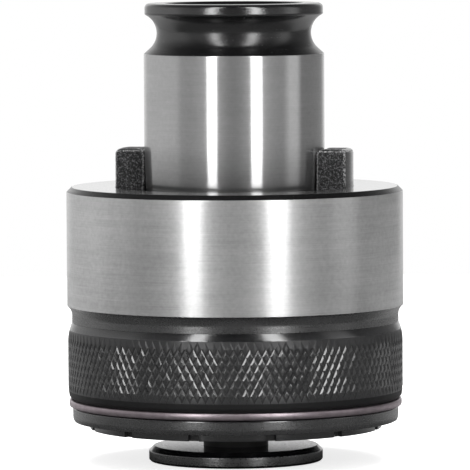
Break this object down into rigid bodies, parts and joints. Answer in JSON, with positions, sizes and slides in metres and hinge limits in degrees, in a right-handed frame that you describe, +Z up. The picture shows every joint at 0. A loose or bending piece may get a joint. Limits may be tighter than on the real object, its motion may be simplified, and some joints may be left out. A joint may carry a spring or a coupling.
{
  "type": "tapping head",
  "caption": "Quick-change tapping head: ground shank with ball-lock groove and drive lugs, overload clutch set by a knurled nut, and a push-up collar that frees the tap.",
  "frame": {"origin": "centre of the release collar's lower face, which the part stands on", "axes": "+Z up the spin axis towards the shank, X through the two drive lugs"},
  "size_m": [0.056, 0.056, 0.0763],
  "materials": {
    "ground_steel": "fine ground bright steel",
    "black_steel": "black oxide satin",
    "spring_steel": "tempered spring steel",
    "bearing_steel": "hardened ground steel",
    "bronze": "plain bearing bronze"
  },
  "bodies": {
    "drive_body": {"drive_body": "ground_steel", "lug_ring": "black_steel", "guide_bush": "bronze", "thrust_race": "bearing_steel"},
    "thrust_washer": {"thrust_washer": "bearing_steel", "disc_spring_1": "spring_steel", "disc_spring_2": "spring_steel", "disc_spring_3": "spring_steel", "disc_spring_4": "spring_steel"},
    "adjusting_nut": {"adjusting_nut": "black_steel", "lock_ring": "spring_steel"},
    "tap_spindle": {"tap_spindle": "bearing_steel", "spindle_washer": "bearing_steel", "spindle_circlip": "spring_steel", "collar_stop_ring": "spring_steel", "release_spring": "spring_steel"},
    "pressure_ring": {"pressure_ring": "bearing_steel", "clutch_balls": "bearing_steel"},
    "thrust_cage": {"thrust_cage": "bronze", "thrust_balls": "bearing_steel"},
    "release_collar": {"release_collar": "black_steel"},
    "lock_ball_1": {"lock_ball_1": "bearing_steel"},
    "lock_ball_2": {"lock_ball_2": "bearing_steel"},
    "lock_ball_3": {"lock_ball_3": "bearing_steel"}
  },
  "joints": [
    {"name": "nut_travel", "type": "slide", "parent": "drive_body", "child": "thrust_washer", "axis": [0, 0, 1], "range_m": [-0.0015, 0]},
    {"name": "nut_turn", "type": "hinge", "parent": "thrust_washer", "child": "adjusting_nut", "pos_m": [0, 0, 0.0145], "axis": [0, 0, 1], "range_deg": [-361, 0]},
    {"name": "clutch_slip", "type": "hinge", "parent": "drive_body", "child": "tap_spindle", "pos_m": [0, 0, 0.03], "axis": [0, 0, 1], "range_deg": [0, 7.85]},
    {"name": "pressure_travel", "type": "slide", "parent": "drive_body", "child": "pressure_ring", "axis": [0, 0, -1], "range_m": [0, 0.0012], "stiffness_N_per_m": 12800, "springref_m": -0.0044, "deforming": ["disc_spring_1", "disc_spring_2", "disc_spring_3", "disc_spring_4"]},
    {"name": "cage_turn", "type": "hinge", "parent": "drive_body", "child": "thrust_cage", "pos_m": [0, 0, 0.0344], "axis": [0, 0, 1], "range_deg": [0, 3.93]},
    {"name": "collar_release", "type": "slide", "parent": "tap_spindle", "child": "release_collar", "axis": [0, 0, 1], "range_m": [0, 0.003], "stiffness_N_per_m": 1500, "springref_m": -0.008, "deforming": ["release_spring"]},
    {"name": "lock_ball_1_out", "type": "slide", "parent": "release_collar", "child": "lock_ball_1", "axis": [1, 0, 0], "range_m": [0, 0.00065]},
    {"name": "lock_ball_2_out", "type": "slide", "parent": "release_collar", "child": "lock_ball_2", "axis": [-0.5, 0.866, 0], "range_m": [0, 0.00065]},
    {"name": "lock_ball_3_out", "type": "slide", "parent": "release_collar", "child": "lock_ball_3", "axis": [-0.5, -0.866, 0], "range_m": [0, 0.00065]}
  ],
  "couplings": [
    {"joint": "nut_turn", "follows": "nut_travel", "rad_per_m": 4188.8},
    {"joint": "clutch_slip", "follows": "pressure_travel", "rad_per_m": 113.21},
    {"joint": "cage_turn", "follows": "pressure_travel", "rad_per_m": 56.603},
    {"joint": "lock_ball_1_out", "follows": "collar_release", "ratio": 0.21256},
    {"joint": "lock_ball_2_out", "follows": "collar_release", "ratio": 0.21256},
    {"joint": "lock_ball_3_out", "follows": "collar_release", "ratio": 0.21256}
  ]
}
